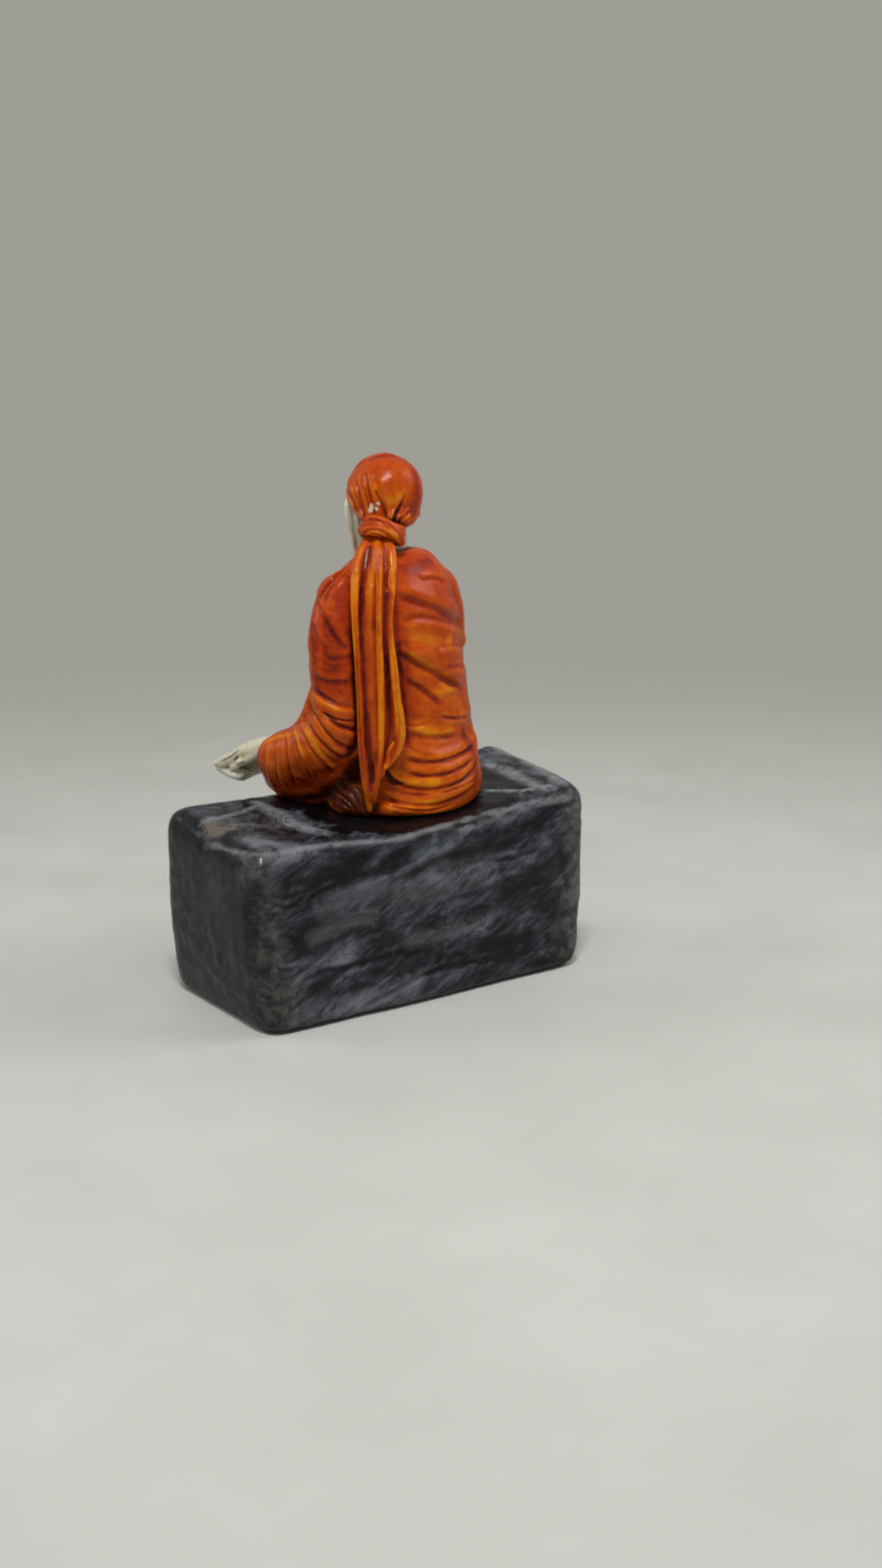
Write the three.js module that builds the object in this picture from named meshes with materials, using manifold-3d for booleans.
// Saint seated on a stone: a hand-painted cast ornament, built up from separate castings on dowels.
// Millimetres, +Z up. The figure faces -Y and its left hand is towards +X.
// Every casting is cut back from its neighbours by one clearance, so that no two of them touch.

import * as THREE from "three";
import { mergeVertices } from "three/addons/utils/BufferGeometryUtils.js";
import Module from "manifold-3d";

const wasm = await Module();
wasm.setup();

// Driving sizes

const CLEARANCE = 0.3; // between any two castings, and round a dowel in its hole

const STONE_HALF_LENGTH = 48.2; // along X, over most of its height
const STONE_HALF_DEPTH = 22.3; // along Y
const STONE_HEIGHT = 44; // at its middle, under the figure
const STONE_EDGE_RADIUS = 5.2;
const STONE_FOOT_SHARPNESS = 0.3; // the rounding at the foot is this share as tall
const STONE_UNDERCUT = 0.06; // share of the length that the foot of the stone loses
const STONE_SPREAD = 0.07; // share of the depth that it gains
const STONE_UNDERCUT_HEIGHT = 26; // the sides lean in below this height
const STONE_FRONT_RISE = 1.8; // the top climbs by this from its middle to the -Y edge
const STONE_RIGHT_RISE = 4.8; // and by this to its -X end
const STONE_RIGHT_SKEW = 2.6; // the -X end leans out by this towards -Y

const DOWEL_RADIUS = 1.5;
const DOWEL_LENGTH = 12;
const DOWEL_SPACING = 16; // between the two dowels under the figure
const SEAT_MIDDLE = -8; // along X, between those two

const UPPER_ARM_RADIUS = 6.6;
const FOREARM_RADIUS = 6.5;
const CUFF_DEPTH = 7; // how far the open end of a sleeve is hollow
const CUFF_WALL = 1.2;

const CUFF_DRAPE_RADIUS = 3.5; // of the cloth that hangs from the left cuff to the stone

const FOLD_HEIGHT = 0.7;
const FOLD_HALF_WIDTH = 2.3;
const HIP_RADIUS = 4.5;
const THIGH_RADIUS = 7;
const ROBE_SHIN_RADIUS = 5.4;
const HEM_HALF_WIDTH = 11;
const SHIN_RADIUS = 2.9;
const FOOT_LENGTH = 20.5;
const PALM_LENGTH = 8;
const FINGER_LENGTH = 8.4; // of the middle finger

const HEAD_HALF_WIDTH = 7.5;
const HEAD_HALF_DEPTH = 8.8;
const HEAD_HEIGHT = 20.6; // chin to crown, under the cloth
const HEAD_TURN = -9; // degrees about Z: the face looks a little to the figure's right
const CLOTH_THICKNESS = 1.1;
const BROW_DROP = -0.6; // radians: the edge of the cloth drops from the brow to the nape
const NECK_RADIUS = 4.4;

const BEARD_LENGTH = 13; // below the chin
const KNOT_RADIUS = 3.7; // of the band's middle line
const KNOT_CORD_RADIUS = 1.35;
const TAIL_HALF_WIDTH = 5.2;
const TAIL_HALF_THICKNESS = 1.6;

// Landmarks of the pose. Heights on the seat are counted from the middle of the stone's top.

const v = (x, y, z) => new THREE.Vector3(x, y, z);
const onSeat = (x, y, z) => v(x, y, STONE_HEIGHT + z);
const between = (a, b, share, dx = 0, dy = 0, dz = 0) =>
  a.clone().lerp(b, share).add(v(dx, dy, dz));

const POSE = {
  leftShoulder: onSeat(11, 2, 52),
  leftElbow: onSeat(14.3, 5, 19.4),
  leftWrist: onSeat(19.6, -18.3, 10.2),
  rightShoulder: onSeat(-16, 0.4, 51.4),
  rightElbow: onSeat(-21.6, -8, 25),
  rightWrist: onSeat(-17.5, -23.5, 23.2),
  leftHip: onSeat(-2, 2, 6.6),
  leftKnee: onSeat(-3, -27, 6.8),
  leftAnkle: v(-4, -31, 15),
  rightHip: onSeat(-18, -1, 7),
  rightKnee: onSeat(-27.5, -24.5, 11.5),
  rightAnkle: onSeat(9.5, -24, 13),
  headCentre: onSeat(-3.6, -2.2, 72.1),
  neckFoot: onSeat(-3.6, -0.4, 54),
  knot: onSeat(0.9, 4.3, 66.3),
};
const LEFTWARD = v(1, 0, 0);
const UP = v(0, 0, 1);

// Geometry helpers

const welded = (geometry) => {
  const bare = geometry.clone();
  for (const name of Object.keys(bare.attributes)) {
    if (name !== "position") bare.deleteAttribute(name);
  }
  return mergeVertices(bare, 1e-4);
};

const toSolid = (geometry) => {
  const merged = welded(geometry);
  return new wasm.Manifold(
    new wasm.Mesh({
      numProp: 3,
      vertProperties: merged.attributes.position.array,
      triVerts: new Uint32Array(merged.index.array),
    }),
  );
};

const toGeometry = (solid) => {
  const mesh = solid.getMesh();
  const geometry = new THREE.BufferGeometry();
  geometry.setAttribute("position", new THREE.BufferAttribute(mesh.vertProperties, 3));
  geometry.setIndex(new THREE.BufferAttribute(mesh.triVerts, 1));
  const flat = geometry.toNonIndexed();
  flat.computeVertexNormals();
  return flat;
};

// A casting with its neighbours taken away, without the crumbs that may leave.
const cutBack = (solid, ...neighbours) =>
  neighbours.reduce((left, other) => left.subtract(other), solid)
    .decompose()
    .reduce((best, body) => (body.volume() > best.volume() ? body : best));

const join = (...solids) => solids.reduce((all, other) => all.add(other));

// One section of a loft: its centre, and its half sizes along the loft's side direction and across it.
const ring = (at, width, depth = width) => ({ at, width, depth });

// Moves every corner of a closed surface outwards by the same distance.
function swell(geometry, grow) {
  if (grow === 0) return geometry;
  geometry.computeVertexNormals();
  const { position, normal } = geometry.attributes;
  for (let i = 0; i < position.count; i++) {
    position.setXYZ(i,
      position.getX(i) + grow * normal.getX(i),
      position.getY(i) + grow * normal.getY(i),
      position.getZ(i) + grow * normal.getZ(i));
  }
  return geometry;
}

// A closed body through rings. Its sections are ellipses, square to the line through the ring centres or to
// `axis` where that is given, and an end may be a dome as long as its share of the end ring. `relief` moves
// the surface, by place and angle.
function loft(
  { rings, side, axis, steps, sides, domes = [0, 0], domeSteps = 3, relief = () => 0 },
  grow = 0,
) {
  const path = new THREE.CatmullRomCurve3(rings.map((r) => r.at), false, "centripetal");
  const sizes = new THREE.CatmullRomCurve3(
    rings.map((r, i) => v(r.width, r.depth, i)), false, "catmullrom", 0.5,
  );
  const ends = [rings[0], rings[rings.length - 1]];
  const reach = domes.map((share, end) => share * Math.min(ends[end].width, ends[end].depth));
  const stations = [];
  for (let i = 0; i <= steps; i++) stations.push({ t: i / steps, scale: 1, shift: 0 });
  for (let i = 1; i < domeSteps; i++) {
    const turn = (i / domeSteps) * (Math.PI / 2);
    const scale = Math.cos(turn);
    const shift = Math.sin(turn);
    if (domes[0] > 0) stations.unshift({ t: 0, scale, shift: -reach[0] * shift });
    if (domes[1] > 0) stations.push({ t: 1, scale, shift: reach[1] * shift });
  }

  const positions = [];
  for (const { t, scale, shift } of stations) {
    const along = axis ?? path.getTangent(t);
    const centre = path.getPoint(t).addScaledVector(along, shift);
    const size = sizes.getPoint(t);
    const across = side.clone().addScaledVector(along, -side.dot(along)).normalize();
    const over = along.clone().cross(across);
    for (let j = 0; j < sides; j++) {
      const angle = (j / sides) * 2 * Math.PI;
      const onRing = (extra) => centre.clone()
        .addScaledVector(across, Math.cos(angle) * (size.x + extra) * scale)
        .addScaledVector(over, Math.sin(angle) * (size.y + extra) * scale);
      const p = onRing(relief(t, angle, onRing(0)));
      positions.push(p.x, p.y, p.z);
    }
  }
  for (const end of [0, 1]) {
    const along = axis ?? path.getTangent(end);
    const tip = path.getPoint(end).addScaledVector(along, end ? reach[1] : -reach[0]);
    positions.push(tip.x, tip.y, tip.z);
  }

  const index = [];
  const rows = stations.length;
  for (let i = 0; i < rows - 1; i++) {
    for (let j = 0; j < sides; j++) {
      const a = i * sides + j;
      const b = i * sides + ((j + 1) % sides);
      index.push(a, b, b + sides, a, b + sides, a + sides);
    }
  }
  const first = rows * sides;
  for (let j = 0; j < sides; j++) {
    const next = (j + 1) % sides;
    index.push(first, next, j);
    index.push(first + 1, (rows - 1) * sides + j, (rows - 1) * sides + next);
  }
  const geometry = new THREE.BufferGeometry();
  geometry.setAttribute("position", new THREE.Float32BufferAttribute(positions, 3));
  geometry.setIndex(index);
  return toSolid(swell(geometry, grow));
}

// A dowel or a hole for one, from one point to another.
function rod([from, to], radius, grow = 0) {
  const length = from.distanceTo(to) + 2 * grow;
  const geometry = new THREE.CylinderGeometry(radius + grow, radius + grow, length, 16);
  const turn = new THREE.Quaternion().setFromUnitVectors(v(0, 1, 0), to.clone().sub(from).normalize());
  const middle = between(from, to, 0.5);
  geometry.applyQuaternion(turn).translate(middle.x, middle.y, middle.z);
  return toSolid(geometry);
}

// The stone

// Grid lines of one side of the stone, closer together round its edges.
function gridLines(half, cells) {
  const flat = 1 - STONE_EDGE_RADIUS / half;
  const turn = 1 - 0.42 * (1 - flat);
  const lines = [-1, -turn];
  for (let i = 0; i <= cells; i++) lines.push(-flat + (2 * flat * i) / cells);
  lines.push(turn, 1);
  return lines;
}

function stone(grow = 0) {
  const half = v(STONE_HALF_LENGTH, STONE_HALF_DEPTH, STONE_HEIGHT / 2);
  const lines = [gridLines(half.x, 10), gridLines(half.y, 5), gridLines(half.z, 5)];
  const cells = lines.map((l) => l.length - 1);
  const block = new THREE.BoxGeometry(2, 2, 2, ...cells);
  const p = block.attributes.position;
  for (let i = 0; i < p.count; i++) {
    const raw = [p.getX(i), p.getY(i), p.getZ(i)];
    const [x, y, z] = raw.map((c, axis) => lines[axis][Math.round(((c + 1) / 2) * cells[axis])]);
    const q = v(x, y, z).multiply(half);
    const core = half.clone().subScalar(STONE_EDGE_RADIUS);
    const inner = q.clone().clamp(core.clone().negate(), core);
    const out = q.sub(inner);
    if (out.lengthSq() > 0) out.setLength(STONE_EDGE_RADIUS);
    const r = inner.add(out);
    const foot = STONE_EDGE_RADIUS * STONE_FOOT_SHARPNESS;
    const raised = r.z + half.z;
    const height = raised < STONE_EDGE_RADIUS
      ? raised * STONE_FOOT_SHARPNESS
      : foot + ((raised - STONE_EDGE_RADIUS) * (STONE_HEIGHT - foot)) / (STONE_HEIGHT - STONE_EDGE_RADIUS);
    const lean = Math.max(0, 1 - height / STONE_UNDERCUT_HEIGHT);
    const share = height / STONE_HEIGHT;
    const right = THREE.MathUtils.smoothstep(-r.x, 12, STONE_HALF_LENGTH);
    const left = 1 - STONE_UNDERCUT * lean * lean;
    const hewn = 0.5 * Math.sin(0.12 * r.x + 0.2 * height)
      + 0.45 * Math.sin(0.16 * height - 0.09 * r.x + 1);
    const skew = STONE_RIGHT_SKEW * right * share * (1 - r.y / STONE_HALF_DEPTH);
    const rise = (-STONE_FRONT_RISE * r.y) / STONE_HALF_DEPTH + STONE_RIGHT_RISE * right;
    p.setXYZ(i,
      r.x * left - skew,
      r.y * (1 + STONE_SPREAD * lean) + hewn * (1 - lean) * (r.y / half.y) ** 7,
      height + rise * share ** 2);
  }
  return toSolid(swell(welded(block), grow));
}

// Robe

// Sections of the robe over the hips, waist, chest and shoulders: height, centre x and y, half width and
// depth. The hips are turned a little to the figure's left, with the leg that crosses over.
const TRUNK = [
  [-2.5, -8.8, 1, 17, 13.6],
  [1, -8.8, 1.1, 18.4, 15.2],
  [5, -9, 0.8, 18.9, 15.4],
  [11, -9, 0.4, 18.6, 14.6],
  [18, -8.4, 0.6, 17.6, 13],
  [25, -7.4, 1, 17, 12.2],
  [34, -6, 1.4, 16.6, 12],
  [42, -4.6, 1.5, 16.4, 12],
  [49, -3.4, 1.5, 16.2, 11.8],
  [53.5, -3.2, 1.2, 15.8, 11.2],
  [57, -3.6, 0.8, 14.4, 10],
  [59.5, -4.4, 0.2, 11.8, 8.4],
  [61, -4.9, -0.3, 9.2, 7],
  [61.8, -4.6, -0.6, 5.9, 5.6],
];

// Main folds of the robe: on the back (1) or on the chest (-1), height above the stone where x is 0, then
// how steeply each climbs to the figure's left and how much it bends.
const TRUNK_FOLDS = [
  [1, 52.4, 0.32, 0],
  [1, 39.4, 0.46, 0.003],
  [1, 24.8, 0.22, 0.005],
  [1, 11.3, 0.57, 0.03],
  [-1, 39.6, 1.17, 0.027],
  [-1, 28.9, 0.9, 0.023],
  [-1, 19.9, 0.8, 0.022],
];

function trunkFolds(angle, point) {
  let total = 0;
  for (const [face, height, slope, bend] of TRUNK_FOLDS) {
    const middle = onSeat(0, 0, height + slope * point.x + bend * point.x ** 2).z;
    const facing = THREE.MathUtils.smoothstep(face * Math.sin(angle), 0.15, 0.6);
    total += facing * FOLD_HEIGHT * Math.exp(-(((point.z - middle) / FOLD_HALF_WIDTH) ** 2));
  }
  return total;
}

// The robe round the trunk, with the hip that shows under the left arm.
function trunk(grow = 0) {
  const body = loft({
    side: v(0.985, 0.174, 0),
    axis: UP,
    steps: 34,
    sides: 34,
    relief: (t, angle, point) => 0.3 * Math.sin(angle * 2 + t * 22) + trunkFolds(angle, point),
    rings: TRUNK.map(([height, x, y, width, depth]) => ring(onSeat(x, y, height), width, depth)),
  }, grow);
  const hip = loft({
    side: LEFTWARD,
    steps: 5,
    sides: 12,
    domes: [0.7, 0.7],
    rings: [
      ring(onSeat(4, -11, 5), HIP_RADIUS),
      ring(onSeat(8.6, -3, 5.6), HIP_RADIUS),
      ring(onSeat(10.6, 3.2, 4.6), HIP_RADIUS - 0.7),
      ring(onSeat(9, 8.4, 2.8), HIP_RADIUS - 1.9),
    ],
  }, grow);
  return join(body, hip);
}

function sleeve(shoulder, elbow, wrist, bow, grow = 0) {
  const forward = wrist.clone().sub(elbow).normalize();
  return loft({
    side: LEFTWARD,
    steps: 16,
    sides: 18,
    domes: [0.85, 0],
    rings: [
      ring(shoulder, UPPER_ARM_RADIUS - 0.4),
      ring(between(shoulder, elbow, 0.3, bow, 0.2, 0), UPPER_ARM_RADIUS),
      ring(between(shoulder, elbow, 0.66, bow * 0.6, 0.8, 0), UPPER_ARM_RADIUS),
      ring(elbow.clone().addScaledVector(forward, 1), UPPER_ARM_RADIUS + 0.5, UPPER_ARM_RADIUS + 0.3),
      ring(between(elbow, wrist, 0.42, 0, 0, -0.9), FOREARM_RADIUS + 0.2),
      ring(between(elbow, wrist, 0.75, 0, 0, -0.9), FOREARM_RADIUS - 0.1, FOREARM_RADIUS + 0.3),
      ring(wrist, FOREARM_RADIUS - 0.9, FOREARM_RADIUS - 0.4),
    ],
  }, grow);
}

// The hollow of a cuff, from its mouth back towards the elbow.
// The cloth under the left forearm, which rests on the stone.
function cuffDrape(grow = 0) {
  const below = (x, y, z) => POSE.leftWrist.clone().add(v(x, y, z));
  return loft({
    side: LEFTWARD,
    steps: 5,
    sides: 14,
    domes: [0.6, 0.6],
    rings: [
      ring(below(-1, -0.7, -4.3), CUFF_DRAPE_RADIUS - 0.2),
      ring(below(-3, 2.8, -5.9), CUFF_DRAPE_RADIUS),
      ring(below(-5.2, 6.8, -6.4), CUFF_DRAPE_RADIUS - 0.1),
      ring(below(-7.2, 10.8, -5.7), CUFF_DRAPE_RADIUS - 0.6),
    ],
  }, grow);
}

function cuffHollow(elbow, wrist) {
  const back = elbow.clone().sub(wrist).normalize();
  const radius = FOREARM_RADIUS - 0.8 - CUFF_WALL;
  const inSleeve = (distance) => wrist.clone().addScaledVector(back, distance);
  return loft({
    side: LEFTWARD,
    steps: 3,
    sides: 14,
    domes: [0.5, 0],
    rings: [
      ring(inSleeve(CUFF_DEPTH), radius - 1.2),
      ring(inSleeve(CUFF_DEPTH / 2), radius - 0.4, radius),
      ring(inSleeve(-2), radius, radius + 0.3),
    ],
  });
}

function leftLeg(grow = 0) {
  const { leftHip, leftKnee, leftAnkle } = POSE;
  return loft({
    side: LEFTWARD,
    steps: 16,
    sides: 21,
    domes: [0.8, 0],
    relief: (t, angle) => 0.6 * THREE.MathUtils.smoothstep(t, 0.6, 0.9) * Math.cos(angle * 7),
    rings: [
      ring(leftHip, THIGH_RADIUS),
      ring(between(leftHip, leftKnee, 0.45), THIGH_RADIUS),
      ring(between(leftHip, leftKnee, 0.88), THIGH_RADIUS - 0.2),
      ring(between(leftKnee, leftAnkle, 0.14, 0, -2.6, 0), THIGH_RADIUS, THIGH_RADIUS - 0.8),
      ring(between(leftKnee, leftAnkle, 0.45, 0, -1.2, 0), THIGH_RADIUS + 1.6, THIGH_RADIUS - 1.6),
      ring(leftAnkle, HEM_HALF_WIDTH, THIGH_RADIUS - 1),
    ],
  }, grow);
}

function rightLeg(grow = 0) {
  const { rightHip, rightKnee, rightAnkle } = POSE;
  return loft({
    side: UP,
    steps: 16,
    sides: 18,
    domes: [0.8, 0],
    rings: [
      ring(rightHip, THIGH_RADIUS),
      ring(between(rightHip, rightKnee, 0.5, -1.2, 0, 0), THIGH_RADIUS),
      ring(between(rightHip, rightKnee, 0.88, -0.6, 0, 0), THIGH_RADIUS - 0.3),
      ring(between(rightKnee, rightAnkle, 0.1, -1, -3.4, 1), ROBE_SHIN_RADIUS + 1.3),
      ring(between(rightKnee, rightAnkle, 0.32, 0, -2.8, 2), ROBE_SHIN_RADIUS + 0.4),
      ring(between(rightKnee, rightAnkle, 0.66, 0, -1.6, 1.6), ROBE_SHIN_RADIUS - 0.4),
    ],
  }, grow);
}

// Skin

// A finger or toe: a chain of joints that thins towards its tip.
const digit = (joints, root, tip, grow = 0) => loft({
  side: v(0.2, 0.3, 0.93),
  steps: 3,
  sides: 6,
  domes: [0.6, 0.9],
  domeSteps: 2,
  rings: joints.map((at, i) => ring(at, root + (tip - root) * (i / (joints.length - 1)))),
}, grow);

// A hand from its wrist to its fingertips. `reach` runs along the palm, `spread` across it towards the index
// finger, and `drop` is the way that the fingers curl.
function hand({ wrist, reach, spread, drop, curl }, grow = 0) {
  const palm = PALM_LENGTH;
  const knuckle = palm - 1;
  const at = (along, across, down) => wrist.clone()
    .addScaledVector(reach, along).addScaledVector(spread, across).addScaledVector(drop, down);
  const solids = [loft({
    side: spread,
    steps: 6,
    sides: 12,
    domes: [0, 0.7],
    rings: [
      ring(at(-3.6, 0, 0.3), 2.3, 2),
      ring(at(0, 0, 0), 2.5, 1.9),
      ring(at(palm * 0.5, 0, 0), 3.4, 1.8),
      ring(at(palm, 0, 0.2), 3.7, 1.5),
    ],
  }, grow)];
  const fingers = [[2.6, 0.92], [0.9, 1], [-0.9, 0.94], [-2.6, 0.76]];
  for (const [offset, length] of fingers) {
    const long = FINGER_LENGTH * length;
    solids.push(digit([
      at(knuckle, offset, 0.2),
      at(palm + long * 0.45, offset * 1.02, 0.2 + curl * 0.2),
      at(palm + long * 0.85, offset * 0.95, 0.2 + curl * 0.75),
      at(palm + long * 0.97, offset * 0.9, 0.2 + curl * 1.1),
    ], 1.15, 0.85, grow));
  }
  const thumb = [at(1, 1.8, 0.3), at(palm * 0.6, 3.9, 0.9), at(palm * 0.95, 4.3, 1.7)];
  solids.push(digit(thumb, 1.35, 0.95, grow));
  return join(...solids);
}

const LEFT_HAND = {
  wrist: POSE.leftWrist.clone().add(v(1.2, -0.4, 3.2)),
  reach: v(0.285, -0.885, -0.37).normalize(),
  spread: v(-0.725, -0.423, 0.543).normalize(),
  drop: v(-0.624, 0.077, -0.773).normalize(),
  curl: 2.2,
};

const RIGHT_HAND = {
  wrist: POSE.rightWrist.clone().add(v(0.6, -0.8, 0.4)),
  reach: v(0.82, -0.38, -0.42).normalize(),
  spread: v(0.35, 0.93, -0.16).normalize(),
  drop: v(-0.45, 0.02, -0.89).normalize(),
  curl: 2.6,
};

// A foot from heel to toes. `across` runs towards the big toe and `sole` points out of the sole.
function foot({ heel, reach, across, sole, ankle }, grow = 0) {
  const length = FOOT_LENGTH;
  const at = (along, over, out) => heel.clone()
    .addScaledVector(reach, along).addScaledVector(across, over).addScaledVector(sole, out);
  const solids = [loft({
    side: across,
    steps: 7,
    sides: 12,
    domes: [0.8, 0.6],
    rings: [
      ring(at(1.6, 0, -1.4), 2.3, 2.4),
      ring(at(length * 0.35, 0, -1.5), 2.5, 2.5),
      ring(at(length * 0.6, 0, -0.7), 3.2, 2),
      ring(at(length * 0.78, 0, -0.1), 3.5, 1.4),
    ],
  }, grow)];
  const toes = [[-2.7, 0.87], [-1.4, 0.92], [-0.15, 0.96], [1.1, 0.99]];
  for (const [over, share] of toes) {
    solids.push(digit([at(length * 0.74, over * 0.95, -0.2), at(length * (share - 0.05), over, 0.2)],
      0.85, 0.72, grow));
  }
  solids.push(digit([at(length * 0.74, 2.3, -0.1), at(length * 0.95, 2.6, 0.2)], 1.2, 1.05, grow));
  solids.push(loft({
    side: UP,
    steps: 5,
    sides: 12,
    domes: [0.7, 0],
    rings: [ring(at(2.8, 0, -1.8), 2.3), ...ankle],
  }, grow));
  return join(...solids);
}

function rightFoot(grow = 0) {
  const { rightKnee, rightAnkle } = POSE;
  return foot({
    heel: onSeat(13.1, -19.6, 7.8),
    reach: v(0.645, -0.755, -0.12).normalize(),
    across: v(0.45, 0.336, 0.829).normalize(),
    sole: v(0.62, 0.55, -0.56).normalize(),
    ankle: [
      ring(rightAnkle, SHIN_RADIUS - 0.3),
      ring(between(rightKnee, rightAnkle, 0.84, 0, -1, 1), SHIN_RADIUS),
      ring(between(rightKnee, rightAnkle, 0.62, 0, -1.7, 1.7), SHIN_RADIUS + 0.2),
    ],
  }, grow);
}

function leftFoot(grow = 0) {
  const { leftAnkle } = POSE;
  return foot({
    heel: leftAnkle.clone().add(v(0, 3, -7.2)),
    reach: v(0.08, -0.97, -0.2).normalize(),
    across: v(-1, -0.08, 0).normalize(),
    sole: v(0, 0.2, -0.98),
    ankle: [
      ring(leftAnkle.clone().add(v(0, 0.9, -2)), 2.6),
      ring(leftAnkle.clone().add(v(0, 0.6, 5)), 2.8),
    ],
  }, grow);
}

// Head, beard and head cloth, about the middle of the head, looking along -Y

const place = (solid) => {
  const { x, y, z } = POSE.headCentre;
  return solid.rotate([0, 0, HEAD_TURN]).translate([x, y, z]);
};
const headAt = (share, y) => v(0, y, (share - 0.5) * HEAD_HEIGHT);
const headRing = (share, width, depth, y) =>
  ring(headAt(share, y), HEAD_HALF_WIDTH * width, HEAD_HALF_DEPTH * depth);

function skull(grow = 0) {
  const bump = (t, middle, spread) => Math.exp(-(((t - middle) / spread) ** 2));
  return place(loft({
    side: LEFTWARD,
    axis: UP,
    steps: 14,
    sides: 20,
    domes: [0.4, 0.3],
    relief: (t, angle) => {
      const front = Math.max(0, -Math.sin(angle)) ** 16;
      const nose = 2 * bump(t, 0.28, 0.07);
      const brow = 0.5 * bump(t, 0.43, 0.05);
      const chin = 0.5 * bump(t, 0.05, 0.06);
      return front * (nose + brow + chin);
    },
    rings: [
      headRing(0.06, 0.42, 0.4, -4),
      headRing(0.17, 0.66, 0.66, -2.2),
      headRing(0.32, 0.86, 0.86, -0.8),
      headRing(0.5, 0.96, 0.96, 0),
      headRing(0.64, 1, 1, 0.2),
      headRing(0.78, 0.93, 0.94, 0.3),
      headRing(0.89, 0.74, 0.76, 0.3),
      headRing(0.955, 0.5, 0.52, 0.3),
      headRing(0.985, 0.28, 0.3, 0.3),
    ],
  }, grow));
}

function neck(grow = 0) {
  const { headCentre, neckFoot } = POSE;
  return loft({
    side: LEFTWARD,
    steps: 4,
    sides: 16,
    rings: [
      ring(neckFoot, NECK_RADIUS - 0.3),
      ring(between(neckFoot, headCentre, 0.7, 0, 1.2, 0), NECK_RADIUS),
    ],
  }, grow);
}

const headForm = (grow) => join(skull(grow), neck(grow));

// The cloth gathers from the back of the head into the knot.
function gather(grow = 0) {
  const { headCentre, knot } = POSE;
  return loft({
    side: v(0.82, -0.57, 0),
    axis: knot.clone().sub(headCentre).normalize(),
    steps: 7,
    sides: 18,
    rings: [
      ring(between(headCentre, knot, 0.2), 7, 6),
      ring(between(headCentre, knot, 0.6, 0.4, 0.6, 0.8), 6.3, 4.6),
      ring(between(headCentre, knot, 0.86, 0.2, 0.3, 0.6), 4.8, 3.6),
      ring(knot.clone().add(v(0, 0, 0.2)), KNOT_RADIUS - 0.5, KNOT_RADIUS - 1.2),
    ],
  }, grow);
}

// The cloth over the head: fuller than the skull all round, and open over the face.
function headCloth(grow = 0) {
  const reach = 60;
  const below = 1.6; // the edge passes this far under the middle of the head
  const above = new THREE.BoxGeometry(reach, reach, reach);
  above.translate(0, 0, reach / 2 - below - grow).rotateX(BROW_DROP);
  const cap = skull(CLOTH_THICKNESS + CLEARANCE + grow).intersect(place(toSolid(above)));
  return join(cap, gather(grow));
}

// The beard, with the hair in front of the ears that runs into it.
function beard(grow = 0) {
  const chin = (y, z) => headAt(0.04, -HEAD_HALF_DEPTH * 0.72 + y).add(v(0, 0, z));
  return place(loft({
    side: LEFTWARD,
    steps: 12,
    sides: 16,
    domes: [0.5, 0.8],
    domeSteps: 2,
    relief: (t, angle) => 0.22 * Math.cos(angle * 5),
    rings: [
      ring(chin(2.9, 11), HEAD_HALF_WIDTH * 1.08, 2.4),
      ring(chin(2.6, 8.4), HEAD_HALF_WIDTH * 1.12, 2.8),
      ring(chin(2.4, 5.6), HEAD_HALF_WIDTH * 1.1, 3.4),
      ring(chin(1.8, 2.6), HEAD_HALF_WIDTH * 0.95, 4.1),
      ring(chin(0.2, -1), HEAD_HALF_WIDTH * 0.76, 3.7),
      ring(chin(-0.6, -BEARD_LENGTH * 0.4), HEAD_HALF_WIDTH * 0.6, 3),
      ring(chin(-0.6, -BEARD_LENGTH * 0.75), HEAD_HALF_WIDTH * 0.36, 2.2),
      ring(chin(-0.4, -BEARD_LENGTH), 1, 0.9),
    ],
  }, grow));
}

// The band knotted round the gathered end of the cloth, at the nape.
function knot(grow = 0) {
  const band = new THREE.TorusGeometry(KNOT_RADIUS, KNOT_CORD_RADIUS + grow, 8, 16);
  band.scale(1, 0.8, 1.7).rotateY(0.2).rotateX(0.1).rotateZ(-0.6);
  band.translate(POSE.knot.x, POSE.knot.y, POSE.knot.z);
  return toSolid(band);
}

// The end of the cloth, hanging down the back over the gap between arm and body.
function tail(grow = 0) {
  const top = POSE.knot;
  const wide = TAIL_HALF_WIDTH;
  const thick = TAIL_HALF_THICKNESS;
  return loft({
    side: v(0.83, -0.56, 0),
    steps: 16,
    sides: 20,
    domes: [0.8, 0.8],
    domeSteps: 2,
    relief: (t, angle) => 0.4 * THREE.MathUtils.smoothstep(t, 0.04, 0.3) * Math.cos(angle * 5 + 1),
    rings: [
      ring(top.clone().add(v(0, 0, 0.8)), wide * 0.5, thick * 1.1),
      ring(top.clone().add(v(1.6, 1.4, -3.4)), wide * 0.62, thick * 1.2),
      ring(onSeat(6.6, 9.3, 57.4), wide * 0.86, thick * 1.3),
      ring(onSeat(8.9, 11.7, 50), wide * 0.94, thick * 1.2),
      ring(onSeat(9.6, 12.4, 42), wide * 0.94, thick * 1.1),
      ring(onSeat(9.4, 13.2, 33), wide, thick * 1.1),
      ring(onSeat(9.2, 13.9, 22), wide * 1.06, thick * 1.2),
      ring(onSeat(9.2, 14, 13.6), wide * 1.02, thick * 1.2),
      ring(onSeat(9.6, 13, 7.6), wide * 0.66, thick * 1.1),
      ring(onSeat(9.2, 10.8, 1.6), wide * 0.2, thick * 0.6),
    ],
  }, grow);
}

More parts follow.
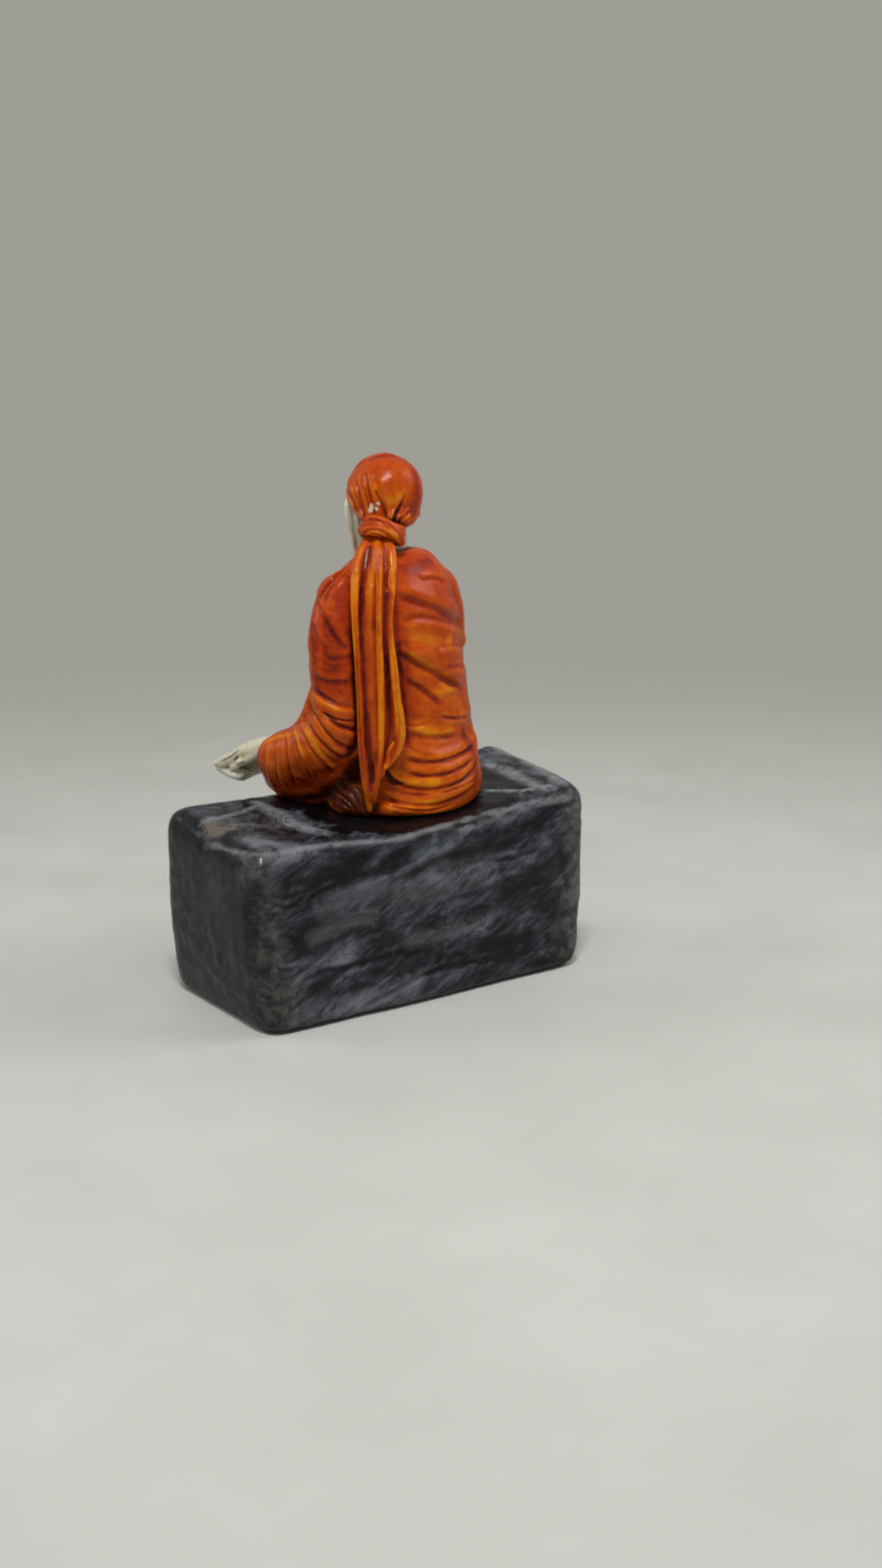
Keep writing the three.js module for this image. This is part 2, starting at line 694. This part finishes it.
// The edge of the hanging end that turns back on itself near the waist.
function tailFold(grow = 0) {
  return loft({
    side: v(0.86, -0.5, 0),
    steps: 8,
    sides: 12,
    domes: [0.8, 0.8],
    rings: [
      ring(onSeat(4.8, 15.2, 36), 0.9, 0.8),
      ring(onSeat(4, 15.8, 26), 1.5, 1.1),
      ring(onSeat(3.5, 16.1, 18), 2, 1.3),
      ring(onSeat(4, 16, 12.6), 1.8, 1.3),
      ring(onSeat(5.4, 15.4, 9), 0.8, 0.8),
    ],
  }, grow);
}

// Dowels

const dowelThrough = (middle) => [-0.5, 0.5]
  .map((share) => middle.clone().addScaledVector(UP, share * DOWEL_LENGTH));
const LEFT_DOWEL = dowelThrough(onSeat(SEAT_MIDDLE + DOWEL_SPACING / 2, 0, 0));
const RIGHT_DOWEL = dowelThrough(onSeat(SEAT_MIDDLE - DOWEL_SPACING / 2, 0, 0));
const NECK_DOWEL = dowelThrough(POSE.neckFoot);

// Assembly

const gap = CLEARANCE;
const { leftShoulder, leftElbow, leftWrist, rightShoulder, rightElbow, rightWrist } = POSE;
const leftSleeve = (grow) => join(sleeve(leftShoulder, leftElbow, leftWrist, 2, grow), cuffDrape(grow));
const rightSleeve = (grow) => sleeve(rightShoulder, rightElbow, rightWrist, -1.2, grow);
const dowelHoles = [LEFT_DOWEL, RIGHT_DOWEL].map((ends) => rod(ends, DOWEL_RADIUS, gap));
const neckHole = rod(NECK_DOWEL, DOWEL_RADIUS, gap);
const stoneGap = stone(gap);
const trunkGap = trunk(gap);
const headGap = headForm(gap);
const clothGap = headCloth(gap);
const rightFootGap = rightFoot(gap);
const tailGap = tail(gap);

const MATERIALS = {
  stone: { color: 0x3a3d44, roughness: 0.35, metalness: 0 },
  robe: { color: 0xc8500f, roughness: 0.3, metalness: 0 },
  cloth: { color: 0xc2560c, roughness: 0.28, metalness: 0 },
  skin: { color: 0xd9d2b4, roughness: 0.45, metalness: 0 },
  hair: { color: 0xdedccd, roughness: 0.55, metalness: 0 },
  steel: { color: 0x9a9a9a, roughness: 0.35, metalness: 1 },
};

const castings = {
  stone_seat: ["stone", cutBack(stone(), ...dowelHoles)],
  robe_body: ["robe", cutBack(trunk(), stoneGap, neck(gap), neckHole, ...dowelHoles)],
  robe_left_leg: ["robe", cutBack(leftLeg(), stoneGap, trunkGap, leftFoot(gap))],
  robe_right_leg: ["robe", cutBack(rightLeg(), stoneGap, trunkGap, leftLeg(gap), rightFootGap)],
  left_sleeve: ["robe", cutBack(leftSleeve(0), stoneGap, trunkGap, leftLeg(gap), rightFootGap,
    cuffHollow(leftElbow, leftWrist), hand(LEFT_HAND, gap), tailGap)],
  right_sleeve: ["robe", cutBack(rightSleeve(0), stoneGap, trunkGap, rightLeg(gap),
    cuffHollow(rightElbow, rightWrist), hand(RIGHT_HAND, gap))],
  left_hand: ["skin", cutBack(hand(LEFT_HAND), rightFootGap)],
  right_hand: ["skin", cutBack(hand(RIGHT_HAND), rightLeg(gap), rightFootGap)],
  right_foot: ["skin", cutBack(rightFoot(), leftLeg(gap), stoneGap)],
  left_foot: ["skin", cutBack(leftFoot(), stoneGap)],
  head: ["skin", cutBack(headForm(0), neckHole)],
  beard: ["hair", cutBack(beard(), headGap, trunkGap, clothGap)],
  head_cloth: ["cloth", cutBack(headCloth(), headGap, knot(gap), trunkGap)],
  cloth_knot: ["cloth", cutBack(knot(), tailGap, headGap, trunkGap)],
  cloth_tail: ["cloth", cutBack(tail(), clothGap, headGap, trunkGap)],
  cloth_tail_fold: ["cloth", cutBack(tailFold(), tailGap, trunkGap)],
  seat_dowel_left: ["steel", rod(LEFT_DOWEL, DOWEL_RADIUS)],
  seat_dowel_right: ["steel", rod(RIGHT_DOWEL, DOWEL_RADIUS)],
  neck_dowel: ["steel", rod(NECK_DOWEL, DOWEL_RADIUS)],
};

const statue = new THREE.Group();
for (const [name, [finish, solid]] of Object.entries(castings)) {
  const mesh = new THREE.Mesh(toGeometry(solid), new THREE.MeshStandardMaterial(MATERIALS[finish]));
  mesh.name = name;
  statue.add(mesh);
}

export default statue;
